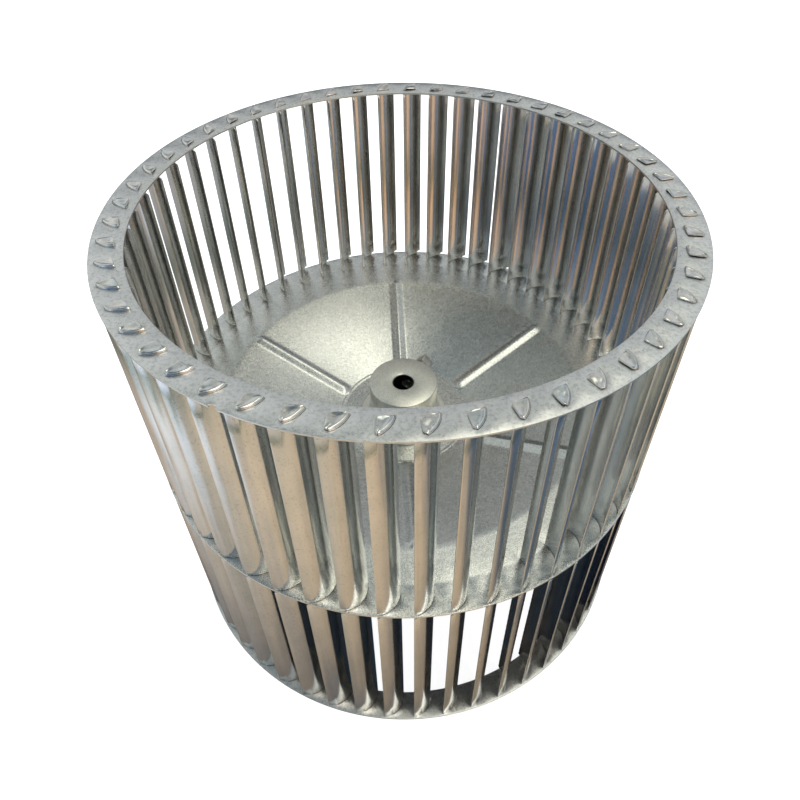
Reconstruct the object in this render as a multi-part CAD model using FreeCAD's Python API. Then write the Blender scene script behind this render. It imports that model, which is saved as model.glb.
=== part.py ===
"""Double-inlet blower wheel: a forward-curved centrifugal fan wheel for a direct-drive motor shaft.

Two flat end rings and a dished centre disc carry full-length curved blades, whose end tabs pass
through slots in the rings and are folded flat. A turned hub is staked into the disc, and a
square-head set screw grips the shaft. Millimetres, +Z along the shaft, origin at the bottom centre.
"""
import FreeCAD, Part
import math
import os
from FreeCAD import Vector

# Wheel, 11-13/16 in across and 10-5/8 in wide
OUTER_R = 150.0
RING_INNER_R = 134.0
RING_T = 1.0
WHEEL_WIDTH = 270.0
BLADE_COUNT = 52
BLADE_T = 0.7
CLEARANCE = 0.1

# Blade cross-section: one arc about a centre on the blade's own radius. The angles are counted
# from the tangential direction towards the rim.
ARC_CENTRE_R = 136.8
ARC_R = 12.4
BLADE_IN_ANGLE = -21.3
BLADE_OUT_ANGLE = 79.0
NECK_IN_ANGLE = 3.0
NECK_OUT_ANGLE = 54.0
NOTCH_R = 2.8
BLADE_CORNER_R = 2.0
FIRST_BLADE_AZIMUTH = 1.16
# Free corners of a folded tab as (radial, tangential) places, the inner corner first
TAB_CORNERS = [(138.9, 5.2), (146.3, 6.0)]
TAB_CORNER_R = 0.8

# Half-round index notch in the upper ring's rim
INDEX_NOTCH_R = 1.7
INDEX_NOTCH_AZIMUTH = 242.6

# Centre disc
DISC_R = 149.5
DISC_T = 1.2
CREASE_R = 112.0
DISH_R = 40.5
DISH_DEPTH = 20.5
RIB_COUNT = 6
FIRST_RIB_AZIMUTH = 33.0
# A rib is the crest of a round-ended bar whose axis runs beneath the dish's slope
RIB_BAR_R = 6.5
RIB_BAR_DROP = 4.8
RIB_END_INSET = 4.5

# Hub, with a base flange above the disc and a staked lip below it
HUB_R = 21.15
HUB_ABOVE_RIM = 8.5
HUB_CHAMFER = 0.6
FLANGE_R = 27.5
FLANGE_T = 2.5
FLANGE_CONE_H = 3.5
NECK_R = 15.0
LIP_R = 17.0
LIP_T = 1.8
BORE_R = 6.35
BORE_CHAMFER = 0.7

# Set screw, 5/16 in with a square head
SCREW_R = 3.97
SCREW_LENGTH = 19.05
SCREW_TIP_R = 6.5
SCREW_TIP_CHAMFER = 1.0
SCREW_HOLE_R = 4.03
SCREW_HEAD_W = 7.94
SCREW_HEAD_H = 5.95
# Cone that rounds off the head's corners: its radius at the shank's side and at the end
HEAD_CONE_START_R = 7.37
HEAD_CONE_END_R = 4.37
SCREW_AZIMUTH = 62.0
SCREW_DROP = 8.2

# How far a cutter runs past the faces that it cuts
OVERCUT = 1.0
# How near a place an edge's middle has to be to count as the edge meant
NEARBY = 0.05

# Heights that follow from the sizes above
LOWER_RING_Z = BLADE_T
UPPER_RING_Z = BLADE_T + WHEEL_WIDTH - RING_T
MID_Z = BLADE_T + WHEEL_WIDTH / 2
DISC_TOP_Z = MID_Z + DISC_T / 2
DISH_TOP_Z = DISC_TOP_Z - DISH_DEPTH
HUB_TOP_Z = DISC_TOP_Z + HUB_ABOVE_RIM
LIP_Z = DISH_TOP_Z - DISC_T - LIP_T
UP = Vector(0, 0, 1)


def arc_point(radius, angle, z):
    """Point of the blade's arc, for a blade whose arc centre lies on the X axis."""
    turn = math.radians(angle)
    return Vector(ARC_CENTRE_R + radius * math.sin(turn), radius * math.cos(turn), z)


def arc_edge(radius, start, end, z):
    """Edge along the blade's arc between two angles."""
    middle = (start + end) / 2
    arc = Part.Arc(arc_point(radius, start, z), arc_point(radius, middle, z), arc_point(radius, end, z))
    return arc.toShape()


def arc_band(start, end, low, high, spread=0.0):
    """Upright strip of sheet along the blade's arc, between two angles and two heights."""
    convex = ARC_R + BLADE_T / 2 + spread
    concave = ARC_R - BLADE_T / 2 - spread
    edges = [
        arc_edge(convex, start, end, low),
        Part.makeLine(arc_point(convex, end, low), arc_point(concave, end, low)),
        arc_edge(concave, end, start, low),
        Part.makeLine(arc_point(concave, start, low), arc_point(convex, start, low)),
    ]
    return Part.Face(Part.Wire(edges)).extrude(UP * (high - low))


def edges_centred_near(shape, places):
    """Short edges of a shape whose middles lie at the given places."""
    return [
        edge
        for edge in shape.Edges
        if edge.Length < 2 * BLADE_T
        and any((edge.CenterOfMass - place).Length < NEARBY for place in places)
    ]


def end_tab(low):
    """Blade end tab, folded flat towards the concave side."""
    convex = ARC_R + BLADE_T / 2
    free = [Vector(radial, tangential, low) for radial, tangential in TAB_CORNERS]
    start = arc_point(convex, NECK_IN_ANGLE, low)
    corners = [start] + free + [arc_point(convex, NECK_OUT_ANGLE, low)]
    edges = [Part.makeLine(a, b) for a, b in zip(corners, corners[1:])]
    edges.append(arc_edge(convex, NECK_OUT_ANGLE, NECK_IN_ANGLE, low))
    tab = Part.Face(Part.Wire(edges)).extrude(UP * BLADE_T)
    middles = [place + UP * BLADE_T / 2 for place in free]
    return tab.makeFillet(TAB_CORNER_R, edges_centred_near(tab, middles))


def make_blade():
    """One full-length blade: the curved body, its notch for the disc, and both folded tabs."""
    low = LOWER_RING_Z + RING_T
    high = UPPER_RING_Z
    body = arc_band(BLADE_IN_ANGLE, BLADE_OUT_ANGLE, low, high)
    inner_corners = [arc_point(ARC_R, BLADE_IN_ANGLE, z) for z in (low, high)]
    body = body.makeFillet(BLADE_CORNER_R, edges_centred_near(body, inner_corners))
    edge_out = arc_point(ARC_R + BLADE_T, BLADE_OUT_ANGLE, MID_Z)
    edge_in = arc_point(ARC_R - BLADE_T, BLADE_OUT_ANGLE, MID_Z)
    body = body.cut(Part.makeCylinder(NOTCH_R, 2 * BLADE_T, edge_in, edge_out - edge_in))
    neck = arc_band(NECK_IN_ANGLE, NECK_OUT_ANGLE, 0, WHEEL_WIDTH + 2 * BLADE_T)
    upper_tab = end_tab(UPPER_RING_Z + RING_T)
    return body.fuse([neck, end_tab(0), upper_tab]).removeSplitter()


def blade_azimuths():
    return [FIRST_BLADE_AZIMUTH + index * 360.0 / BLADE_COUNT for index in range(BLADE_COUNT)]


def turned(shape, azimuth):
    """Copy of a shape turned about the wheel's axis."""
    copy = shape.copy()
    copy.rotate(Vector(0, 0, 0), UP, azimuth)
    return copy


def slots(start, end, low, high):
    """Arc slots for every blade, wider than the sheet by the clearance all round."""
    margin = math.degrees(CLEARANCE / ARC_R)
    slot = arc_band(start - margin, end + margin, low, high, CLEARANCE)
    return [turned(slot, azimuth) for azimuth in blade_azimuths()]


def make_ring(low):
    """Flat end ring with one arc slot for each blade."""
    ring = Part.makeCylinder(OUTER_R, RING_T, Vector(0, 0, low))
    bottom = low - OVERCUT
    top = low + RING_T + OVERCUT
    hole = Part.makeCylinder(RING_INNER_R, top - bottom, Vector(0, 0, bottom))
    return ring.cut([hole] + slots(NECK_IN_ANGLE, NECK_OUT_ANGLE, bottom, top))


def make_index_notch():
    """Cutter for the half-round notch in the upper ring's rim."""
    height = RING_T + 2 * OVERCUT
    cutter = Part.makeCylinder(INDEX_NOTCH_R, height, Vector(OUTER_R, 0, UPPER_RING_Z - OVERCUT))
    return turned(cutter, INDEX_NOTCH_AZIMUTH)


def revolved(profile):
    """Solid of revolution about the Z axis from (radius, height) corners."""
    points = [Vector(radius, 0, z) for radius, z in profile]
    face = Part.Face(Part.makePolygon(points + points[:1]))
    return face.revolve(Vector(0, 0, 0), UP, 360)


def rib_bar(radius):
    """Round-ended bar beneath the dish's slope, on the X axis."""
    slope = math.atan2(DISH_DEPTH, CREASE_R - DISH_R)
    length = (CREASE_R - DISH_R) / math.cos(slope) - 2 * RIB_END_INSET
    bend = radius * math.sqrt(0.5)
    near = Part.Arc(Vector(-radius, 0, 0), Vector(-bend, 0, bend), Vector(0, 0, radius))
    far = Part.Arc(
        Vector(length, 0, radius), Vector(length + bend, 0, bend), Vector(length + radius, 0, 0)
    )
    edges = [
        near.toShape(),
        Part.makeLine(Vector(0, 0, radius), Vector(length, 0, radius)),
        far.toShape(),
        Part.makeLine(Vector(length + radius, 0, 0), Vector(-radius, 0, 0)),
    ]
    bar = Part.Face(Part.Wire(edges)).revolve(Vector(0, 0, 0), Vector(1, 0, 0), 360)
    bar.translate(Vector(RIB_END_INSET, 0, -RIB_BAR_DROP))
    bar.rotate(Vector(0, 0, 0), Vector(0, 1, 0), -math.degrees(slope))
    bar.translate(Vector(DISH_R, 0, DISH_TOP_Z))
    return bar


def make_disc():
    """Dished centre disc with raised ribs, blade slots and a hole for the hub."""
    hole_r = NECK_R + CLEARANCE
    top = [(hole_r, DISH_TOP_Z), (DISH_R, DISH_TOP_Z), (CREASE_R, DISC_TOP_Z), (DISC_R, DISC_TOP_Z)]
    underside = [(radius, z - DISC_T) for radius, z in reversed(top)]
    above = revolved([(DISC_R, HUB_TOP_Z), (hole_r, HUB_TOP_Z)] + underside[::-1])
    azimuths = [FIRST_RIB_AZIMUTH + index * 360.0 / RIB_COUNT for index in range(RIB_COUNT)]
    crest = rib_bar(RIB_BAR_R).common(above)
    hollow = rib_bar(RIB_BAR_R - DISC_T)
    disc = revolved(top + underside).fuse([turned(crest, azimuth) for azimuth in azimuths])
    disc = disc.cut([turned(hollow, azimuth) for azimuth in azimuths])
    notch_angle = BLADE_OUT_ANGLE - math.degrees(NOTCH_R / ARC_R)
    bottom = DISC_TOP_Z - DISC_T - OVERCUT
    return disc.cut(slots(BLADE_IN_ANGLE, notch_angle, bottom, DISC_TOP_Z + OVERCUT))


def make_hub():
    """Turned hub with a coned base flange, a staked lip, the shaft bore and the screw's hole."""
    flange_top = DISH_TOP_Z + FLANGE_T
    profile = [
        (BORE_R, LIP_Z + BORE_CHAMFER),
        (BORE_R + BORE_CHAMFER, LIP_Z),
        (LIP_R, LIP_Z),
        (LIP_R, LIP_Z + LIP_T),
        (NECK_R, LIP_Z + LIP_T),
        (NECK_R, DISH_TOP_Z),
        (FLANGE_R, DISH_TOP_Z),
        (FLANGE_R, flange_top),
        (HUB_R, flange_top + FLANGE_CONE_H),
        (HUB_R, HUB_TOP_Z - HUB_CHAMFER),
        (HUB_R - HUB_CHAMFER, HUB_TOP_Z),
        (BORE_R + BORE_CHAMFER, HUB_TOP_Z),
        (BORE_R, HUB_TOP_Z - BORE_CHAMFER),
    ]
    screw_z = HUB_TOP_Z - SCREW_DROP
    hole = Part.makeCylinder(SCREW_HOLE_R, HUB_R + OVERCUT, Vector(0, 0, screw_z), Vector(1, 0, 0))
    return revolved(profile).cut(turned(hole, SCREW_AZIMUTH))


def make_set_screw():
    """Square-head set screw, backed out until its tip just clears the bore."""
    z = HUB_TOP_Z - SCREW_DROP
    along = Vector(1, 0, 0)
    tip_r = SCREW_R - SCREW_TIP_CHAMFER
    tip = Part.makeCone(tip_r, SCREW_R, SCREW_TIP_CHAMFER, Vector(SCREW_TIP_R, 0, z), along)
    shank_start = Vector(SCREW_TIP_R + SCREW_TIP_CHAMFER, 0, z)
    shank = Part.makeCylinder(SCREW_R, SCREW_LENGTH - SCREW_TIP_CHAMFER, shank_start, along)
    head_start = SCREW_TIP_R + SCREW_LENGTH
    half = SCREW_HEAD_W / 2
    head = Part.makeBox(SCREW_HEAD_H, SCREW_HEAD_W, SCREW_HEAD_W, Vector(head_start, -half, z - half))
    head.rotate(Vector(0, 0, z), along, 45)
    start = Vector(head_start, 0, z)
    round_off = Part.makeCone(HEAD_CONE_START_R, HEAD_CONE_END_R, SCREW_HEAD_H, start, along)
    screw = shank.fuse([tip, head.common(round_off)]).removeSplitter()
    return turned(screw, SCREW_AZIMUTH)


def save(name, shape):
    shape.exportStep(os.path.join("parts", name + ".step"))


def main():
    os.makedirs("parts", exist_ok=True)
    save("end_ring_lower", make_ring(LOWER_RING_Z))
    save("end_ring_upper", make_ring(UPPER_RING_Z).cut(make_index_notch()))
    save("centre_disc", make_disc())
    save("hub", make_hub())
    save("set_screw", make_set_screw())
    blade = make_blade()
    for number, azimuth in enumerate(blade_azimuths(), start=1):
        save("blade_%02d" % number, turned(blade, azimuth))


main()
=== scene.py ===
import math
import random

import bmesh
import bpy
from mathutils import Matrix, Vector


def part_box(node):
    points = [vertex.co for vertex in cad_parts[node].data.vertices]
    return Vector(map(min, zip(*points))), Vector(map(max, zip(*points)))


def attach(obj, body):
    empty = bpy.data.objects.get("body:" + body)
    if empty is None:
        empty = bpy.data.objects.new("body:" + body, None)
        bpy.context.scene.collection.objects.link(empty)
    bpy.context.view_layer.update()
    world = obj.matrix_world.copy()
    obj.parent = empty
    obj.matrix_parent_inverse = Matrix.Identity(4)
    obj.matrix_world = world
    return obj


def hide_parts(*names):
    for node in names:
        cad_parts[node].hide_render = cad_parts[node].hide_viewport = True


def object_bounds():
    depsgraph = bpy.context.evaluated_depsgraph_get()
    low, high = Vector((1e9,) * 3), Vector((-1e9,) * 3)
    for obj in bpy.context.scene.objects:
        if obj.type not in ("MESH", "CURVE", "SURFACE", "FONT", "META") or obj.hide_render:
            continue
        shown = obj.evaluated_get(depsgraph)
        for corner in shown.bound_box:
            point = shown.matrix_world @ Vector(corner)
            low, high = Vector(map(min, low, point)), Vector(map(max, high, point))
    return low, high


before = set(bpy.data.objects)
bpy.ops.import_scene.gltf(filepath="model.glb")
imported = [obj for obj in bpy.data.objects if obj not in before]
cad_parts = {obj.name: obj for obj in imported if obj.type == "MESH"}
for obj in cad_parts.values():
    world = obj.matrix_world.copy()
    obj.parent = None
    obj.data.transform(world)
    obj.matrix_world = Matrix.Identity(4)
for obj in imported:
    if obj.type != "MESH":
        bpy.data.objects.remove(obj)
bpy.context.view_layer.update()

# ---------------------------------------------------------------- sizes, in millimetres
MM = 0.001
BLADE_COUNT = 52
PITCH = 360.0 / BLADE_COUNT
BLADE_T = 0.7
RING_T = 1.0
DISC_T = 1.2
OUTER_R = 150.0
RING_INNER_R = 134.0
CLEARANCE = 0.12
CUT_EDGE_R = 0.13

# Heights read from the frame
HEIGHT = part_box("blade_01")[1].z / MM
MID_Z = HEIGHT / 2
LOWER_RING_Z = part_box("end_ring_lower")[0].z / MM
UPPER_RING_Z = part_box("end_ring_upper")[0].z / MM
DISC_TOP_Z = MID_Z + DISC_T / 2
HUB_LOW_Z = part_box("hub")[0].z / MM
HUB_TOP_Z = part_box("hub")[1].z / MM

# Blade section: an arc, with angles counted from the outward direction
ARC_CENTRE_R = 136.8
ARC_R = 12.4
OUT_ANGLE = 11.0
NECK_OUT_ANGLE = 36.0
NECK_IN_ANGLE = 87.0
IN_ANGLE = 111.3
CORNER_R = 2.0
NOTCH_R = 2.8
FIRST_AZIMUTH = 1.16
TAB_BEND_R = 0.80
TAB_GAP = 0.03

# Disc
DISC_R = 149.5
ANNULUS_R = 124.0
CREASE_R = 112.0
CREASE_SOFT = 1.4
DISH_R = 40.5
DISH_DEPTH = 20.5
DISH_SOFT = 0.6
BEAD_H = 0.32
BEAD_W = 0.7
HUB_HOLE_R = 15.1
RIB_COUNT = 6
RIB_AZIMUTH = 33.0
RIB_HALF_W = 4.7
RIB_H = 1.9
RIB_CREST_R = 1.3
RIB_OVERRUN = 0.8

# Hub and set screw
HUB_R = 21.15
HUB_CHAMFER = 0.7
HUB_CORNER = 0.6
HUB_FILLET_R = 3.6
FLANGE_R = 27.5
FLANGE_T = 2.5
NECK_R = 15.0
LIP_R = 17.0
BORE_R = 6.35
SCREW_AZIMUTH = 62.0
SCREW_Z = HUB_TOP_Z - 8.2
SCREW_R = 3.95
SCREW_HOLE_R = 4.05
SCREW_CUP_DEPTH = 1.2
SCREW_TIP_R = 6.5
SCREW_LENGTH = 19.05
SCREW_HEAD_W = 7.94
SCREW_HEAD_H = 5.95
THREAD_PITCH = 25.4 / 18
THREAD_DEPTH = 0.75
THREAD_RUNOUT = 1.6

# Upper ring's rim
RIM_POINTS = 360
UPPER_NOTCH_AZIMUTH = 242.6
UPPER_NOTCH_R = 1.7
EAR_H = 0.55
EAR_HALF_ANGLE = 1.6

# Stage, in metres
FLOOR_SIZE = 12.0
BENCH_SIZE = 6.0
BENCH_Z = 0.0003

dice = random.Random(7)


# ---------------------------------------------------------------- camera
def make_camera():
    """Camera that looks down into the wheel from the side with the negative Y axis."""
    elevation = math.radians(44.2)
    roll = math.radians(-0.39)
    distance = 0.4285
    target = Vector((0.0038, 0.0, 0.1665))
    back = Vector((0, -math.cos(elevation), math.sin(elevation)))
    right = Vector((1, 0, 0))
    up = back.cross(right)
    turned_right = math.cos(roll) * right + math.sin(roll) * up
    turned_up = math.cos(roll) * up - math.sin(roll) * right
    data = bpy.data.cameras.new("camera")
    data.sensor_width = 36
    data.lens = 31.9
    data.shift_x = -0.0115
    data.shift_y = -0.0541
    data.clip_start = 0.01
    camera = bpy.data.objects.new("camera", data)
    bpy.context.scene.collection.objects.link(camera)
    matrix = Matrix((turned_right, turned_up, back)).transposed().to_4x4()
    matrix.translation = target + distance * back
    camera.matrix_world = matrix
    bpy.context.scene.camera = camera


# ---------------------------------------------------------------- material helpers
def node(tree, kind, **values):
    """New node with its settings, and its inputs by name."""
    made = tree.nodes.new(kind)
    for key, value in values.items():
        if key in made.inputs:
            made.inputs[key].default_value = value
        else:
            setattr(made, key, value)
    return made


def noise(tree, vector, scale, detail=3.0, rough=0.55):
    made = node(tree, "ShaderNodeTexNoise", Scale=scale, Detail=detail, Roughness=rough)
    tree.links.new(vector, made.inputs["Vector"])
    return made.outputs["Fac"]


def cells(tree, vector, scale):
    """Crystal-like cells, each with its own grey value."""
    made = node(tree, "ShaderNodeTexVoronoi", Scale=scale)
    tree.links.new(vector, made.inputs["Vector"])
    split = node(tree, "ShaderNodeSeparateColor")
    tree.links.new(made.outputs["Color"], split.inputs["Color"])
    return split.outputs["Red"]


def stretched(tree, vector, scale):
    made = node(tree, "ShaderNodeMapping")
    made.inputs["Scale"].default_value = scale
    tree.links.new(vector, made.inputs["Vector"])
    return made.outputs["Vector"]


def remap(tree, value, low, high, to_low, to_high):
    made = node(tree, "ShaderNodeMapRange")
    for name, number in (("From Min", low), ("From Max", high), ("To Min", to_low), ("To Max", to_high)):
        made.inputs[name].default_value = number
    tree.links.new(value, made.inputs["Value"])
    return made.outputs["Result"]


def spread(tree, value, low, high):
    """A noise, which mostly lies between 0.3 and 0.7, spread over a new range."""
    return remap(tree, value, 0.3, 0.7, low, high)


def combine(tree, operation, a, b):
    made = node(tree, "ShaderNodeMath", operation=operation)
    for socket, value in zip(made.inputs, (a, b)):
        if isinstance(value, (int, float)):
            socket.default_value = value
        else:
            tree.links.new(value, socket)
    return made.outputs["Value"]


def ramp(tree, value, stops):
    """Colour ramp with (position, colour) stops."""
    made = node(tree, "ShaderNodeValToRGB")
    elements = made.color_ramp.elements
    while len(elements) < len(stops):
        elements.new(0.5)
    for element, (position, colour) in zip(elements, stops):
        element.position = position
        element.color = (*colour, 1.0)
    tree.links.new(value, made.inputs["Fac"])
    return made.outputs["Color"]


def mixed(tree, kind, factor, a, b):
    made = node(tree, "ShaderNodeMix", data_type="RGBA", blend_type=kind)
    for name, value in ((0, factor), (6, a), (7, b)):
        if isinstance(value, (int, float)):
            made.inputs[name].default_value = value
        elif isinstance(value, tuple):
            made.inputs[name].default_value = (*value, 1.0)
        else:
            tree.links.new(value, made.inputs[name])
    return made.outputs[2]


def axes_of(tree, vector):
    """The three parts of a place or direction."""
    split = node(tree, "ShaderNodeSeparateXYZ")
    tree.links.new(vector, split.inputs["Vector"])
    return split.outputs["X"], split.outputs["Y"], split.outputs["Z"]


def distance_from_axis(tree, x, y):
    square = combine(tree, "ADD", combine(tree, "MULTIPLY", x, x), combine(tree, "MULTIPLY", y, y))
    return combine(tree, "SQRT", square, 0.0)


def metal(name):
    """Empty metal material: its tree, its shader and the object coordinates."""
    material = bpy.data.materials.new(name)
    material.use_nodes = True
    tree = material.node_tree
    shader = tree.nodes["Principled BSDF"]
    shader.inputs["Metallic"].default_value = 1.0
    place = node(tree, "ShaderNodeTexCoord").outputs["Object"]
    return material, tree, shader, place


def add_bump(tree, shader, height, distance, strength=1.0):
    made = node(tree, "ShaderNodeBump", Strength=strength, Distance=distance * MM)
    tree.links.new(height, made.inputs["Height"])
    tree.links.new(made.outputs["Normal"], shader.inputs["Normal"])


def galvanised(name, dark, light, flecks, rough, relief):
    """Zinc-coated sheet: faint clouds, small dull flecks and a fine sparkling grain."""
    material, tree, shader, place = metal(name)
    clouds = noise(tree, place, 24.0, 3.0)
    fleck = noise(tree, place, 620.0, 3.0, 0.6)
    grain = noise(tree, place, 1700.0, 2.0, 0.6)
    crystals = cells(tree, place, 420.0)
    tone = combine(tree, "ADD", spread(tree, clouds, 0.0, 0.3), spread(tree, fleck, 0.0, 0.3))
    tone = combine(tree, "ADD", tone, spread(tree, grain, 0.0, 0.25))
    tone = combine(tree, "ADD", tone, remap(tree, crystals, 0.0, 1.0, 0.0, 0.15))
    dull = ramp(tree, fleck, [(0.36, (flecks, flecks, flecks)), (0.50, (1.0, 1.0, 1.0))])
    colour = mixed(tree, "MULTIPLY", 1.0, ramp(tree, tone, [(0.0, dark), (1.0, light)]), dull)
    tree.links.new(colour, shader.inputs["Base Color"])
    gloss = combine(tree, "ADD", spread(tree, grain, rough - 0.07, rough + 0.07),
                    remap(tree, crystals, 0.0, 1.0, -0.03, 0.03))
    tree.links.new(gloss, shader.inputs["Roughness"])
    height = combine(tree, "ADD", grain, combine(tree, "MULTIPLY", fleck, 0.8))
    add_bump(tree, shader, height, relief)
    return material


def rolled(name):
    """Blade sheet: warm and cool streaks along the blade over a zinc grain."""
    material, tree, shader, place = metal(name)
    along = stretched(tree, place, (1.0, 1.0, 0.035))
    streaks = noise(tree, along, 330.0, 5.0, 0.65)
    bands = noise(tree, along, 90.0, 2.0)
    clouds = noise(tree, place, 60.0, 4.0)
    grain = noise(tree, place, 1100.0, 2.0)
    colour = ramp(tree, remap(tree, bands, 0.32, 0.68, 0.0, 1.0), [
        (0.0, (0.66, 0.69, 0.71)), (0.4, (0.77, 0.76, 0.74)), (0.65, (0.82, 0.79, 0.74)),
        (1.0, (0.70, 0.70, 0.71))])
    fine = ramp(tree, spread(tree, streaks, 0.0, 1.0), [
        (0.0, (0.80, 0.82, 0.84)), (0.5, (0.96, 0.96, 0.95)), (1.0, (1.0, 1.0, 1.0))])
    colour = mixed(tree, "MULTIPLY", 0.8, colour, fine)
    blotch = ramp(tree, clouds, [(0.35, (0.84, 0.87, 0.87)), (0.6, (1.0, 1.0, 1.0))])
    colour = mixed(tree, "MULTIPLY", 0.6, colour, blotch)
    pits = ramp(tree, grain, [(0.32, (0.50, 0.48, 0.45)), (0.41, (1.0, 1.0, 1.0))])
    tree.links.new(mixed(tree, "MULTIPLY", 0.5, colour, pits), shader.inputs["Base Color"])
    gloss = combine(tree, "ADD", spread(tree, streaks, 0.11, 0.21),
                    spread(tree, grain, -0.03, 0.03))
    tree.links.new(gloss, shader.inputs["Roughness"])
    fine_height = combine(tree, "ADD", streaks, grain)
    height = combine(tree, "ADD", combine(tree, "MULTIPLY", clouds, 4.0), fine_height)
    add_bump(tree, shader, height, 0.05, 0.25)
    return material


def cut_edge(name):
    """Sheared edge of a sheet: bright, with fine lines across it."""
    material, tree, shader, place = metal(name)
    lines = noise(tree, stretched(tree, place, (1.0, 1.0, 6.0)), 600.0, 3.0)
    colour = ramp(tree, lines, [(0.3, (0.66, 0.64, 0.60)), (0.65, (0.90, 0.88, 0.84))])
    tree.links.new(colour, shader.inputs["Base Color"])
    tree.links.new(spread(tree, lines, 0.30, 0.46), shader.inputs["Roughness"])
    add_bump(tree, shader, lines, 0.05, 0.6)
    return material


def turned_steel(name):
    """Lathe-turned steel: fine rings about the shaft axis, a light haze, and painted shade that makes the
    bore wall near black.
    """
    material, tree, shader, place = metal(name)
    x, y, z = axes_of(tree, place)
    radius = distance_from_axis(tree, x, y)
    path = combine(tree, "ADD", radius, combine(tree, "MULTIPLY", z, 0.7))
    line = node(tree, "ShaderNodeCombineXYZ")
    tree.links.new(path, line.inputs["X"])
    rings = noise(tree, line.outputs["Vector"], 1900.0, 3.0, 0.7)
    haze = noise(tree, place, 90.0, 4.0)
    fleck = noise(tree, place, 1400.0, 2.0, 0.6)
    tone = combine(tree, "ADD", spread(tree, rings, 0.0, 0.4), spread(tree, fleck, 0.0, 0.6))
    colour = ramp(tree, tone, [(0.2, (0.70, 0.69, 0.63)), (0.8, (0.97, 0.95, 0.86))])
    stain = ramp(tree, haze, [(0.35, (0.84, 0.86, 0.85)), (0.65, (1.0, 1.0, 1.0))])
    colour = mixed(tree, "MULTIPLY", 0.7, colour, stain)
    # Painted shade: the bore wall and the inner edge of its chamfer are darkened to near black, standing in
    # for the shade inside the hole.
    clear_of_bore_shade = remap(tree, radius, (BORE_R + 0.1) * MM, (BORE_R + 0.35) * MM, 0.0, 1.0)
    bore = ramp(tree, clear_of_bore_shade, [(0.0, (0.10, 0.11, 0.11)), (1.0, (1.0, 1.0, 1.0))])
    tree.links.new(mixed(tree, "MULTIPLY", 1.0, colour, bore), shader.inputs["Base Color"])
    gloss = combine(tree, "ADD", spread(tree, rings, 0.28, 0.38), spread(tree, haze, -0.04, 0.05))
    tree.links.new(gloss, shader.inputs["Roughness"])
    add_bump(tree, shader, combine(tree, "ADD", rings, fleck), 0.05, 0.7)
    return material


def plated(name):
    """Zinc-plated fastener: a slightly yellow film with small pits."""
    material, tree, shader, place = metal(name)
    film = noise(tree, place, 260.0, 3.0)
    pits = noise(tree, place, 2200.0, 2.0)
    colour = ramp(tree, film, [(0.3, (0.50, 0.49, 0.46)), (0.7, (0.68, 0.67, 0.62))])
    tree.links.new(colour, shader.inputs["Base Color"])
    tree.links.new(spread(tree, pits, 0.24, 0.40), shader.inputs["Roughness"])
    add_bump(tree, shader, pits, 0.04, 0.5)
    return material


# ---------------------------------------------------------------- mesh helpers
def turn(point, azimuth):
    """Place (x, y, z) turned about the wheel's axis."""
    angle = math.radians(azimuth)
    x, y, z = point
    return (x * math.cos(angle) - y * math.sin(angle), x * math.sin(angle) + y * math.cos(angle), z)


def piece(name, points, faces, materials):
    """Object from places in millimetres."""
    mesh = bpy.data.meshes.new(name)
    mesh.from_pydata([Vector(point) * MM for point in points], [], faces)
    for material in materials:
        mesh.materials.append(material)
    made = bpy.data.objects.new(name, mesh)
    bpy.context.scene.collection.objects.link(made)
    return made


def tidy_mesh(made):
    """Merges doubled points and points every face outwards."""
    bm = bmesh.new()
    bm.from_mesh(made.data)
    bmesh.ops.remove_doubles(bm, verts=bm.verts, dist=0.01 * MM)
    bmesh.ops.recalc_face_normals(bm, faces=bm.faces)
    bm.to_mesh(made.data)
    bm.free()


def apply_modifiers(made, smooth_angle=38):
    """Applies a piece's modifiers and shades it smooth, with sharp edges kept."""
    view = bpy.context.evaluated_depsgraph_get()
    mesh = bpy.data.meshes.new_from_object(made.evaluated_get(view))
    old = made.data
    made.modifiers.clear()
    made.data = mesh
    bpy.data.meshes.remove(old)
    mesh.name = made.name
    mesh.shade_smooth()
    mesh.set_sharp_from_angle(angle=math.radians(smooth_angle))


def add_bevel(made, width, segments=2, angle=45):
    bevel = made.modifiers.new("bevel", "BEVEL")
    bevel.width = width * MM
    bevel.segments = segments
    bevel.limit_method = "ANGLE"
    bevel.angle_limit = math.radians(angle)


def sheet_of(made, thickness, offset):
    """Gives a surface its sheet thickness, a cut-edge material and slightly rounded edges."""
    solid = made.modifiers.new("thickness", "SOLIDIFY")
    solid.thickness = thickness * MM
    solid.offset = offset
    solid.use_even_offset = True
    solid.material_offset_rim = 1
    add_bevel(made, CUT_EDGE_R)
    apply_modifiers(made)


def seat(made, node_name, body):
    """Hands a finished piece to the frame in place of its CAD node."""
    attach(made, body)
    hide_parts(node_name)


def circle(radius, count, z, start=0.0):
    return [turn((radius, 0.0, z), start + index * 360.0 / count) for index in range(count)]


def add_strip(faces, side_a, side_b):
    """Adds the faces between two columns of points."""
    for row in range(len(side_a) - 1):
        faces.append((side_a[row], side_a[row + 1], side_b[row + 1], side_b[row]))


def filled(loops):
    """Points and triangles of a flat face bounded by the first loop, with the others as holes."""
    bm = bmesh.new()
    for loop in loops:
        verts = [bm.verts.new(point) for point in loop]
        for a, b in zip(verts, verts[1:] + verts[:1]):
            bm.edges.new((a, b))
    bmesh.ops.triangle_fill(bm, use_beauty=True, use_dissolve=False, edges=bm.edges)
    bm.verts.index_update()
    points = [tuple(vert.co) for vert in bm.verts]
    faces = [[vert.index for vert in face.verts] for face in bm.faces]
    bm.free()
    return points, faces


# ---------------------------------------------------------------- blades
def arc_place(angle, offset=0.0):
    """Radial and tangential place on the blade's arc."""
    radius = ARC_R + offset
    turned = math.radians(angle)
    return ARC_CENTRE_R + radius * math.cos(turned), radius * math.sin(turned)


def steps(start, end, count):
    return [start + (end - start) * index / count for index in range(count + 1)]


def degrees_along(length):
    return math.degrees(length / ARC_R)


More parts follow.
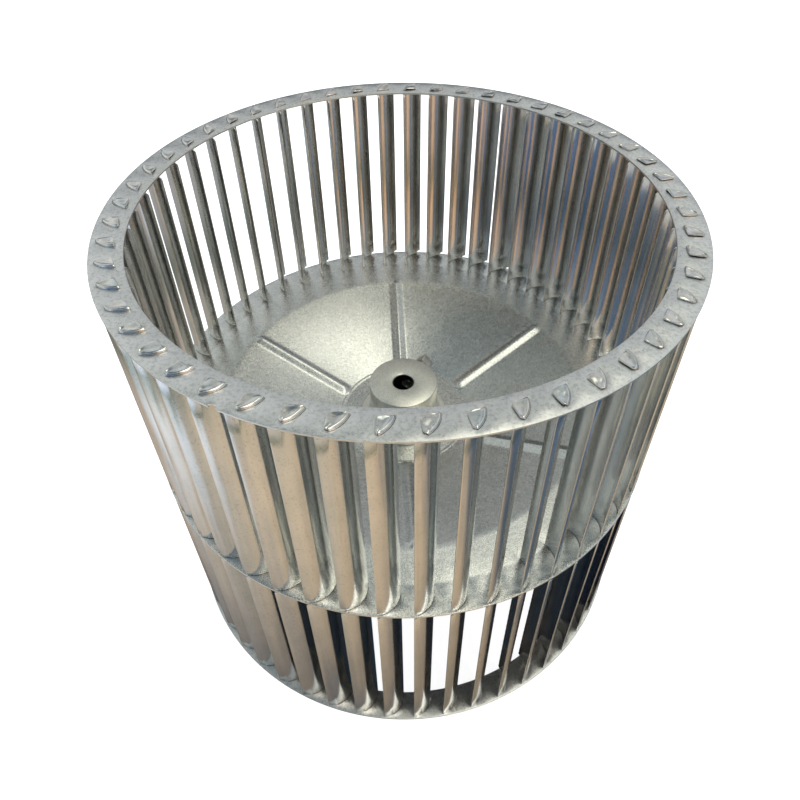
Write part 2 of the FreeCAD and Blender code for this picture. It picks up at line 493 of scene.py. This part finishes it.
def blade_columns():
    """Angles of the blade's columns, with every outline corner on a column."""
    notch_end = OUT_ANGLE + degrees_along(NOTCH_R)
    columns = [OUT_ANGLE + degrees_along(NOTCH_R * math.sin(math.radians(part))) for part in range(0, 90, 15)]
    columns += steps(notch_end, NECK_OUT_ANGLE, 3)
    columns += steps(NECK_OUT_ANGLE, NECK_IN_ANGLE, 12)[1:]
    corner_start = IN_ANGLE - degrees_along(CORNER_R)
    columns += steps(NECK_IN_ANGLE, corner_start, 3)[1:]
    for part in range(15, 91, 15):
        columns.append(IN_ANGLE - degrees_along(CORNER_R * (1 - math.sin(math.radians(part)))))
    return columns


def corner_inset(angle):
    """How far the blade's end is cut back at a column by the rounded inner corner."""
    gap = (IN_ANGLE - angle) * math.radians(1) * ARC_R
    if gap >= CORNER_R:
        return 0.0
    return CORNER_R - math.sqrt(max(0.0, CORNER_R ** 2 - (CORNER_R - gap) ** 2))


def notch_half(angle):
    """Half the height of the notch that the disc sits in, at a column."""
    gap = (angle - OUT_ANGLE) * math.radians(1) * ARC_R
    return math.sqrt(max(0.0, NOTCH_R ** 2 - gap ** 2))


# Free edge of a folded tab: share along it, radial and tangential place
TAB_EDGE = [(0.0, 146.75, 6.6), (0.08, 146.1, 5.8), (0.42, 142.6, 5.35), (0.68, 139.3, 5.1),
            (0.78, 138.8, 5.8), (0.9, 138.2, 8.8), (1.0, 137.75, 11.45)]


def tab_free_edge(share, slip):
    """Place on a folded tab's free edge, from its outer tip at 0 to its inner end at 1."""
    for (s0, x0, y0), (s1, x1, y1) in zip(TAB_EDGE, TAB_EDGE[1:]):
        if share <= s1 + 1e-9:
            mix = (share - s0) / (s1 - s0)
            return x0 + (x1 - x0) * mix, y0 + (y1 - y0) * mix + slip
    return TAB_EDGE[-1][1:]


def tab_path(angle, slip, lift, ripple, phase):
    """Places of one column of a folded tab, above the ring's outer face."""
    share = (angle - NECK_OUT_ANGLE) / (NECK_IN_ANGLE - NECK_OUT_ANGLE)
    x, y = arc_place(angle)
    edge_x, edge_y = tab_free_edge(share, slip)
    reach = math.hypot(edge_x - x, edge_y - y)
    toward = ((edge_x - x) / reach, (edge_y - y) / reach)
    bend_r = min(TAB_BEND_R, reach * 0.6)
    path = [(0.0, 0.0)]
    for part in (22.5, 45.0, 67.5, 90.0):
        bend = math.radians(part)
        path.append((bend_r * (1 - math.cos(bend)), bend_r * math.sin(bend)))
    flat = BLADE_T / 2 + TAB_GAP
    wave = 0.5 + 0.5 * math.sin(2 * math.pi * (1.3 * share + phase))
    for out_share in (0.10, 0.20, 0.30, 0.42, 0.56, 0.70, 0.85, 1.0):
        fall = max(0.0, 1 - out_share / 0.40) ** 1.6
        dent = lift * out_share ** 2 + ripple * wave * math.sin(math.pi * out_share)
        path.append((bend_r + (reach - bend_r) * out_share, flat + (bend_r - flat) * fall + dent))
    return [(x + toward[0] * out, y + toward[1] * out, rise) for out, rise in path]


def blade_surface():
    """Mid-surface of a blade with both folded tabs, in the blade's own axes."""
    columns = blade_columns()
    rows = 10
    low = LOWER_RING_Z + RING_T
    high = UPPER_RING_Z
    points, faces, grid = [], [], []

    def put(point):
        points.append(point)
        return len(points) - 1

    for angle in columns:
        x, y = arc_place(angle)
        inset = corner_inset(angle)
        half = notch_half(angle)
        lower = [put((x, y, z)) for z in steps(low + inset, MID_Z - half, rows)]
        upper = [put((x, y, z)) for z in steps(MID_Z + half, high - inset, rows)]
        grid.append((lower, upper))
    for (lower_a, upper_a), (lower_b, upper_b) in zip(grid, grid[1:]):
        add_strip(faces, lower_a, lower_b)
        add_strip(faces, upper_a, upper_b)
    necks = [index for index, angle in enumerate(columns)
             if NECK_OUT_ANGLE - 0.01 <= angle <= NECK_IN_ANGLE + 0.01]
    for upper_end in (True, False):
        slip = dice.uniform(-0.35, 0.45)
        lift = dice.uniform(0.10, 0.55)
        ripple = dice.uniform(0.10, 0.60)
        phase = dice.random()
        strips = []
        for index in necks:
            start = grid[index][1][-1] if upper_end else grid[index][0][0]
            strip = [start]
            for x, y, rise in tab_path(columns[index], slip, lift, ripple, phase):
                z = UPPER_RING_Z + RING_T + rise if upper_end else LOWER_RING_Z - rise
                strip.append(put((x, y, z)))
            strips.append(strip)
        for strip_a, strip_b in zip(strips, strips[1:]):
            add_strip(faces, strip_a, strip_b)
    return points, faces


def make_blades(sheet, edge):
    for number in range(1, BLADE_COUNT + 1):
        points, faces = blade_surface()
        azimuth = FIRST_AZIMUTH + (number - 1) * PITCH
        name = "blade_%02d" % number
        made = piece(name + "_formed", [turn(point, azimuth) for point in points], faces, [sheet, edge])
        tidy_mesh(made)
        sheet_of(made, BLADE_T, 0.0)
        seat(made, name, "wheel")


# ---------------------------------------------------------------- end rings
def slot_loop(start, end, azimuth, z):
    """Outline of an arc slot that a blade passes through."""
    margin = degrees_along(CLEARANCE)
    half = BLADE_T / 2 + CLEARANCE
    angles = steps(start - margin, end + margin, 10)
    loop = [arc_place(angle, half) for angle in angles]
    loop += [arc_place(angle, -half) for angle in reversed(angles)]
    return [turn((x, y, z), azimuth) for x, y in loop]


def notched_rim(z):
    """Outer edge of the upper ring, with its half-round notch."""
    half = math.degrees(math.asin(UPPER_NOTCH_R / OUTER_R))
    loop = [turn((OUTER_R, 0.0, z), UPPER_NOTCH_AZIMUTH + angle)
            for angle in steps(half, 360.0 - half, RIM_POINTS)]
    for angle in steps(100.0, 260.0, 10)[::-1]:
        place = math.radians(angle)
        point = (OUTER_R + UPPER_NOTCH_R * math.cos(place), UPPER_NOTCH_R * math.sin(place), z)
        loop.append(turn(point, UPPER_NOTCH_AZIMUTH))
    return loop


def eared_edge(z):
    """Inner edge of the upper ring, with a small ear at the notch's azimuth."""
    loop = []
    for index in range(RIM_POINTS):
        azimuth = index * 360.0 / RIM_POINTS
        away = (azimuth - UPPER_NOTCH_AZIMUTH + 180.0) % 360.0 - 180.0
        ear = EAR_H * max(0.0, 1 - (away / EAR_HALF_ANGLE) ** 4)
        loop.append(turn((RING_INNER_R - ear, 0.0, z), azimuth))
    return loop


def make_ring(name, z, rim, inner, sheet, edge):
    loops = [rim, inner]
    loops += [slot_loop(NECK_OUT_ANGLE, NECK_IN_ANGLE, FIRST_AZIMUTH + index * PITCH, z)
              for index in range(BLADE_COUNT)]
    points, faces = filled(loops)
    made = piece(name + "_pressed", points, faces, [sheet, edge])
    tidy_mesh(made)
    sheet_of(made, RING_T, 0.0)
    seat(made, name, "wheel")


def make_rings(sheet, edge):
    upper = UPPER_RING_Z + RING_T / 2
    lower = LOWER_RING_Z + RING_T / 2
    make_ring("end_ring_upper", upper, notched_rim(upper), eared_edge(upper), sheet, edge)
    rim = circle(OUTER_R, RIM_POINTS, lower)
    inner = circle(RING_INNER_R, RIM_POINTS, lower)
    make_ring("end_ring_lower", lower, rim, inner, sheet, edge)


# ---------------------------------------------------------------- centre disc
def soft_ramp(distance, soft):
    """A slope that starts at zero distance, rounded over a soft length each way."""
    if distance <= -soft:
        return 0.0
    if distance >= soft:
        return distance
    return (distance + soft) ** 2 / (4 * soft)


def dish_height(radius):
    """Height of the disc's top face from its rim, with rounded creases and a small bead."""
    slope = DISH_DEPTH / (CREASE_R - DISH_R)
    rise = slope * (soft_ramp(radius - DISH_R, DISH_SOFT) - soft_ramp(radius - CREASE_R, CREASE_SOFT))
    bead = BEAD_H * math.exp(-((radius - DISH_R) / BEAD_W) ** 2)
    return rise - DISH_DEPTH + bead


def rib_height(radius, away):
    """Height of a raised rib at a radius and an angle away from the rib's middle."""
    angle = math.radians(away)
    across = abs(radius * math.sin(angle))
    along = radius * math.cos(angle)
    inner = DISH_R + RIB_HALF_W - RIB_OVERRUN
    outer = CREASE_R - RIB_HALF_W + RIB_OVERRUN
    beyond = max(0.0, inner - along, along - outer)
    distance = math.hypot(across, beyond)
    if distance >= RIB_HALF_W:
        return 0.0
    crest = math.sqrt(RIB_HALF_W ** 2 + RIB_CREST_R ** 2) - RIB_CREST_R
    fall = math.sqrt(distance ** 2 + RIB_CREST_R ** 2) - RIB_CREST_R
    ridge = 1 - fall / crest
    return RIB_H * ridge ** 1.25


def sector_angles(count):
    """Angles across one rib's sector, closest together at the rib."""
    half = 180.0 / RIB_COUNT
    spread = [2.0 * index / count - 1 for index in range(count)]
    return [half * (0.32 * share + 0.68 * share ** 3) for share in spread]


def make_disc(sheet, edge):
    radii = steps(HUB_HOLE_R, DISH_R - 2, 6) + steps(DISH_R - 2, DISH_R + 2, 12)[1:]
    radii += steps(DISH_R + 2, DISH_R + 9, 7)[1:] + steps(DISH_R + 9, CREASE_R - 8, 24)[1:]
    radii += steps(CREASE_R - 8, CREASE_R + 3, 12)[1:]
    radii += [ANNULUS_R]
    places = [(rib, away) for rib in range(RIB_COUNT) for away in sector_angles(64)]
    points, faces = [], []
    for radius in radii:
        for rib, away in places:
            z = DISC_TOP_Z + dish_height(radius) + rib_height(radius, away)
            points.append(turn((radius, 0.0, z), RIB_AZIMUTH + rib * 360.0 / RIB_COUNT + away))
    count = len(places)
    for ring in range(len(radii) - 1):
        for index in range(count):
            a = ring * count + index
            b = ring * count + (index + 1) % count
            faces.append((a, b, b + count, a + count))
    inner = points[-count:]
    notch_angle = OUT_ANGLE + degrees_along(NOTCH_R)
    loops = [circle(DISC_R, 8 * BLADE_COUNT, DISC_TOP_Z), inner]
    loops += [slot_loop(notch_angle, IN_ANGLE, FIRST_AZIMUTH + index * PITCH, DISC_TOP_Z)
              for index in range(BLADE_COUNT)]
    flat_points, flat_faces = filled(loops)
    start = len(points)
    points += flat_points
    faces += [tuple(start + index for index in face) for face in flat_faces]
    made = piece("centre_disc_pressed", points, faces, [sheet, edge])
    tidy_mesh(made)
    if made.data.polygons[0].normal.z < 0:
        made.data.flip_normals()
    sheet_of(made, DISC_T, -1.0)
    seat(made, "centre_disc", "wheel")


# ---------------------------------------------------------------- hub and set screw
def lathe(name, profile, count, materials):
    """Closed solid of revolution from (radius, height) corners."""
    points = [turn((radius, 0.0, z), index * 360.0 / count)
              for index in range(count) for radius, z in profile]
    size = len(profile)
    faces = []
    for index in range(count):
        here = index * size
        there = (index + 1) % count * size
        for step in range(size):
            after = (step + 1) % size
            faces.append((here + step, there + step, there + after, here + after))
    return piece(name, points, faces, materials)


def cutter_cylinder(radius, start, end, azimuth, z):
    """Short-lived radial cylinder that cuts the set screw's hole."""
    sides = 48
    points = []
    for along in (start, end):
        for index in range(sides):
            angle = 2 * math.pi * index / sides
            points.append(turn((along, radius * math.cos(angle), z + radius * math.sin(angle)), azimuth))
    faces = [tuple(range(sides))[::-1], tuple(range(sides, 2 * sides))]
    for index in range(sides):
        after = (index + 1) % sides
        faces.append((index, after, after + sides, index + sides))
    made = piece("cutter", points, faces, [])
    tidy_mesh(made)
    return made


def hub_profile():
    """Half section of the hub: bore, staked lip, neck in the disc, flange, fillet and barrel."""
    dish_z = DISC_TOP_Z - DISH_DEPTH
    flange_top = dish_z + FLANGE_T
    profile = [(BORE_R, HUB_LOW_Z + HUB_CHAMFER), (BORE_R + HUB_CHAMFER, HUB_LOW_Z),
               (LIP_R - 0.6, HUB_LOW_Z), (LIP_R, HUB_LOW_Z + 0.7), (LIP_R - 0.2, HUB_LOW_Z + 1.4),
               (NECK_R, dish_z - DISC_T), (NECK_R, dish_z),
               (FLANGE_R - 0.3, dish_z), (FLANGE_R, dish_z + 0.3),
               (FLANGE_R, flange_top - 0.5), (FLANGE_R - 0.5, flange_top)]
    for angle in steps(0.0, 80.0, 6):
        turned = math.radians(angle)
        profile.append((HUB_R + HUB_FILLET_R * (1 - math.sin(turned)),
                        flange_top + HUB_FILLET_R * (1 - math.cos(turned))))
    profile += [(HUB_R, flange_top + HUB_FILLET_R + 0.1), (HUB_R, HUB_TOP_Z - HUB_CORNER),
                (HUB_R - 0.3 * HUB_CORNER, HUB_TOP_Z - 0.3 * HUB_CORNER), (HUB_R - HUB_CORNER, HUB_TOP_Z),
                (BORE_R + HUB_CHAMFER, HUB_TOP_Z), (BORE_R, HUB_TOP_Z - HUB_CHAMFER)]
    return profile


def make_hub(steel):
    made = lathe("hub_turned", hub_profile(), 144, [steel])
    tidy_mesh(made)
    cutter = cutter_cylinder(SCREW_HOLE_R, BORE_R / 2, HUB_R + 9.0, SCREW_AZIMUTH, SCREW_Z)
    hole = made.modifiers.new("screw_hole", "BOOLEAN")
    hole.object = cutter
    hole.solver = "EXACT"
    add_bevel(made, 0.12, 2, 28)
    apply_modifiers(made, 30)
    bpy.data.objects.remove(cutter)
    seat(made, "hub", "wheel")


def thread_radius(along, angle):
    """Radius of the screw's thread at a distance from the tip and an angle about its axis."""
    phase = (along / THREAD_PITCH - angle / (2 * math.pi)) % 1.0
    depth = min(1.0, max(0.0, abs(phase - 0.5) * 2.3 - 0.12))
    near_tip = max(0.0, 1.0 - along)
    near_head = max(0.0, along - (SCREW_LENGTH - THREAD_RUNOUT)) / THREAD_RUNOUT
    return SCREW_R - THREAD_DEPTH * max(depth, near_head * 0.9) - near_tip


def square_radius(angle):
    """Distance from the screw's axis to the side of its square head, which has one corner up."""
    half = SCREW_HEAD_W / 2
    quarter = angle % (math.pi / 2) - math.pi / 4
    return min(half / math.cos(quarter), half * 1.36)


def make_screw(steel):
    """Set screw from its cup point to its square head, along its own radial axis."""
    count = 64
    angles = [2 * math.pi * index / count for index in range(count)]
    rings = [(0.35, [1.6] * count), (0.0, [2.1] * count), (0.0, [2.55] * count)]
    for along in steps(0.05, SCREW_LENGTH, 176):
        rings.append((along, [thread_radius(along, angle) for angle in angles]))
    rings.append((SCREW_LENGTH + 0.01, [3.3] * count))
    for along, shrink in ((0.0, 0.5), (0.12, 0.14), (0.35, 0.0), (SCREW_HEAD_H - 0.9, 0.0),
                          (SCREW_HEAD_H - 0.45, 0.16), (SCREW_HEAD_H - 0.12, 0.55), (SCREW_HEAD_H, 1.1)):
        rings.append((SCREW_LENGTH + 0.02 + along, [square_radius(angle) - shrink for angle in angles]))
    points = [(SCREW_TIP_R + SCREW_CUP_DEPTH, 0.0, SCREW_Z)]
    for along, radii in rings:
        for angle, radius in zip(angles, radii):
            points.append((SCREW_TIP_R + along, radius * math.cos(angle), SCREW_Z + radius * math.sin(angle)))
    points.append((SCREW_TIP_R + SCREW_LENGTH + SCREW_HEAD_H + 0.05, 0.0, SCREW_Z))
    faces = []
    last = 1 + (len(rings) - 1) * count
    for index in range(count):
        after = (index + 1) % count
        faces.append((0, 1 + index, 1 + after))
        faces.append((len(points) - 1, last + after, last + index))
        for ring in range(len(rings) - 1):
            a = 1 + ring * count
            faces.append((a + index, a + count + index, a + count + after, a + after))
    made = piece("set_screw_threaded", [turn(point, SCREW_AZIMUTH) for point in points], faces, [steel])
    tidy_mesh(made)
    apply_modifiers(made, 32)
    seat(made, "set_screw", "set_screw")


# ---------------------------------------------------------------- stage
def plain_material(name, colour, rough):
    material = bpy.data.materials.new(name)
    material.use_nodes = True
    shader = material.node_tree.nodes["Principled BSDF"]
    shader.inputs["Base Color"].default_value = (*colour, 1.0)
    shader.inputs["Roughness"].default_value = rough
    return material


def make_plane(name, size, z, material):
    mesh = bpy.data.meshes.new(name)
    half = size / 2
    corners = [(-half, -half, z), (half, -half, z), (half, half, z), (-half, half, z)]
    mesh.from_pydata(corners, [], [(0, 1, 2, 3)])
    mesh.materials.append(material)
    made = bpy.data.objects.new(name, mesh)
    bpy.context.scene.collection.objects.link(made)
    return made


def make_light(name, place, target, size, power, colour, reflected=True):
    data = bpy.data.lights.new(name, "AREA")
    data.shape = "RECTANGLE"
    data.size, data.size_y = size
    data.energy = power
    data.color = colour
    made = bpy.data.objects.new(name, data)
    made.location = place
    made.rotation_euler = (Vector(place) - Vector(target)).to_track_quat("Z", "Y").to_euler()
    made.visible_camera = False
    made.visible_glossy = reflected
    bpy.context.scene.collection.objects.link(made)


def room_colour(tree, x, z):
    """Reflected room by direction: brightest overhead on the right, dark low down."""
    sky = ramp(tree, z, [
        (0.0, (0.08, 0.10, 0.12)), (0.25, (0.22, 0.24, 0.26)), (0.42, (0.62, 0.64, 0.66)),
        (0.62, (0.62, 0.64, 0.64)), (0.73, (0.50, 0.53, 0.52)), (0.85, (0.52, 0.55, 0.53))])
    side = ramp(tree, remap(tree, x, -0.6, 0.6, 0.0, 1.0), [
        (0.1, (1.50, 1.50, 1.48)), (0.45, (1.0, 1.0, 1.0)), (0.60, (1.0, 1.0, 1.0)),
        (0.9, (1.40, 1.40, 1.40))])
    ceiling = ramp(tree, remap(tree, x, -0.45, 0.45, 0.0, 1.0), [
        (0.0, (0.09, 0.14, 0.19)), (0.36, (0.17, 0.22, 0.25)), (0.50, (0.50, 0.52, 0.48)),
        (0.62, (2.20, 2.15, 1.86)), (0.74, (3.75, 3.66, 3.10)), (0.85, (1.30, 1.30, 1.14)),
        (1.0, (0.50, 0.52, 0.50))])
    overhead = remap(tree, z, 0.81, 0.91, 0.0, 1.0)
    return mixed(tree, "MIX", overhead, mixed(tree, "MULTIPLY", 1.0, sky, side), ceiling)


def make_world():
    """Surroundings that only reflections see, with a plain pale background for the camera."""
    world = bpy.data.worlds.new("studio")
    bpy.context.scene.world = world
    world.use_nodes = True
    tree = world.node_tree
    background = tree.nodes["Background"]
    x, y, z = axes_of(tree, node(tree, "ShaderNodeTexCoord").outputs["Generated"])
    front_wall = ramp(tree, remap(tree, x, -0.9, 0.9, 0.0, 1.0), [
        (0.0, (0.30, 0.38, 0.48)), (0.12, (0.82, 0.94, 1.10)), (0.22, (0.18, 0.26, 0.37)),
        (0.50, (0.16, 0.23, 0.33)), (0.61, (0.20, 0.20, 0.21)), (0.68, (0.90, 0.62, 0.42)),
        (0.82, (1.25, 0.92, 0.64)), (1.0, (0.55, 0.66, 0.80))])
    not_overhead = remap(tree, z, 0.78, 0.56, 0.25, 1.0)
    facing = combine(tree, "MULTIPLY", not_overhead, remap(tree, y, -0.25, -0.5, 0.0, 1.0))
    reflected = mixed(tree, "MIX", facing, room_colour(tree, x, z), front_wall)
    seen = node(tree, "ShaderNodeLightPath").outputs["Is Camera Ray"]
    tree.links.new(mixed(tree, "MIX", seen, reflected, (0.86, 0.87, 0.88)), background.inputs["Color"])
    background.inputs["Strength"].default_value = 0.88


def bench_colour(tree, turn_share, reach):
    """Colour of the reflected bench by direction, as a share of a turn, and by distance in metres, with a
    painted shadow close around the wheel.
    """
    around = ramp(tree, turn_share, [
        (0.01, (0.46, 0.37, 0.30)), (0.06, (0.56, 0.47, 0.40)), (0.15, (0.52, 0.45, 0.38)),
        (0.22, (0.62, 0.51, 0.39)), (0.33, (0.58, 0.45, 0.32)), (0.40, (0.08, 0.11, 0.15)),
        (0.52, (0.06, 0.13, 0.25)), (0.56, (0.70, 0.42, 0.24)), (0.65, (0.70, 0.44, 0.27)),
        (0.71, (0.08, 0.15, 0.27)), (0.80, (0.30, 0.33, 0.36)), (0.97, (0.36, 0.33, 0.30))])
    pale_band = ramp(tree, turn_share, [
        (0.035, (0.0, 0.0, 0.0)), (0.07, (1.0, 1.0, 1.0)),
        (0.125, (1.0, 1.0, 1.0)), (0.155, (0.0, 0.0, 0.0))])
    pale = combine(tree, "MULTIPLY", pale_band, remap(tree, reach, 0.24, 0.36, 0.10, 0.85))
    around = mixed(tree, "MIX", pale, around, (0.86, 0.92, 1.02))
    # Painted shadow: close under and around the wheel the bench is darkened to a dark blue, standing in for
    # the wheel's shade on the floor; farther out come the plain, grey-green and pale bands.
    depth = ramp(tree, remap(tree, reach, 0.12, 0.62, 0.0, 1.0), [
        (0.0, (0.14, 0.26, 0.50)), (0.06, (0.50, 0.51, 0.54)), (0.18, (0.84, 0.84, 0.84)),
        (0.34, (0.94, 0.94, 0.94)), (0.50, (0.94, 0.94, 0.94)), (0.62, (0.30, 0.38, 0.36)),
        (0.85, (0.9, 0.95, 1.05))])
    colour = mixed(tree, "MULTIPLY", 1.0, around, depth)
    back_right = combine(tree, "MULTIPLY", remap(tree, turn_share, 0.46, 0.50, 0.0, 1.0),
                         remap(tree, turn_share, 0.78, 0.72, 0.0, 1.0))
    close = combine(tree, "MULTIPLY", remap(tree, reach, 0.36, 0.28, 0.0, 0.75), back_right)
    colour = mixed(tree, "MIX", close, colour, (0.40, 0.40, 0.39))
    return mixed(tree, "MIX", remap(tree, reach, 0.66, 0.90, 0.0, 1.0), colour, (0.50, 0.51, 0.52))


def bench_material():
    """Bench that the metal reflects: warm wood in front, copper and slate on the right, grey far off, and a
    painted shadow close around the wheel.
    """
    material = plain_material("bench_card", (0.5, 0.4, 0.3), 0.8)
    tree = material.node_tree
    shader = tree.nodes["Principled BSDF"]
    place = node(tree, "ShaderNodeTexCoord").outputs["Object"]
    x, y, _ = axes_of(tree, place)
    wander = spread(tree, noise(tree, place, 9.0, 3.0), -0.035, 0.035)
    bearing = combine(tree, "ARCTAN2", y, x)
    turn_share = combine(tree, "ADD", remap(tree, bearing, -math.pi, math.pi, 0.0, 1.0), wander)
    reach = combine(tree, "ADD", distance_from_axis(tree, x, y), combine(tree, "MULTIPLY", wander, 0.6))
    tree.links.new(bench_colour(tree, turn_share, reach), shader.inputs["Base Color"])
    return material


def make_stage(floor_z):
    """White floor that the camera sees, coloured bench that the metal reflects, world and lights."""
    pale = plain_material("pale_floor", (0.5, 0.5, 0.5), 0.8)
    shader = pale.node_tree.nodes["Principled BSDF"]
    shader.inputs["Emission Color"].default_value = (1.0, 1.0, 1.0, 1.0)
    shader.inputs["Emission Strength"].default_value = 0.9
    floor = make_plane("floor", FLOOR_SIZE, floor_z, pale)
    floor.visible_glossy = False
    card = make_plane("reflected_bench", BENCH_SIZE, BENCH_Z, bench_material())
    card.visible_camera = False
    card.visible_diffuse = False
    card.visible_shadow = False
    make_world()
    make_light("fill", (0.0, 0.0, 2.2), (0, 0, 0), (3.0, 3.0), 50, (1.0, 1.0, 1.0), reflected=False)
    make_light("key", (0.55, -0.8, 1.5), (0, 0, 0.15), (0.45, 0.45), 2.2, (1.0, 0.97, 0.92))


# ---------------------------------------------------------------- the scene
bpy.context.scene.view_settings.view_transform = "Standard"
make_camera()

ring_steel = galvanised("ring_steel", (0.60, 0.61, 0.60), (0.86, 0.87, 0.86), 0.84, 0.34, 0.035)
disc_steel = galvanised("disc_steel", (0.48, 0.50, 0.49), (0.85, 0.86, 0.83), 0.93, 0.27, 0.070)
blade_steel = rolled("blade_steel")
edge_steel = cut_edge("cut_edge_steel")
hub_steel = turned_steel("hub_steel")
screw_steel = plated("screw_steel")

make_rings(ring_steel, edge_steel)
make_disc(disc_steel, edge_steel)
make_blades(blade_steel, edge_steel)
make_hub(hub_steel)
make_screw(screw_steel)

visual_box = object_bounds()
make_stage(visual_box[0].z)
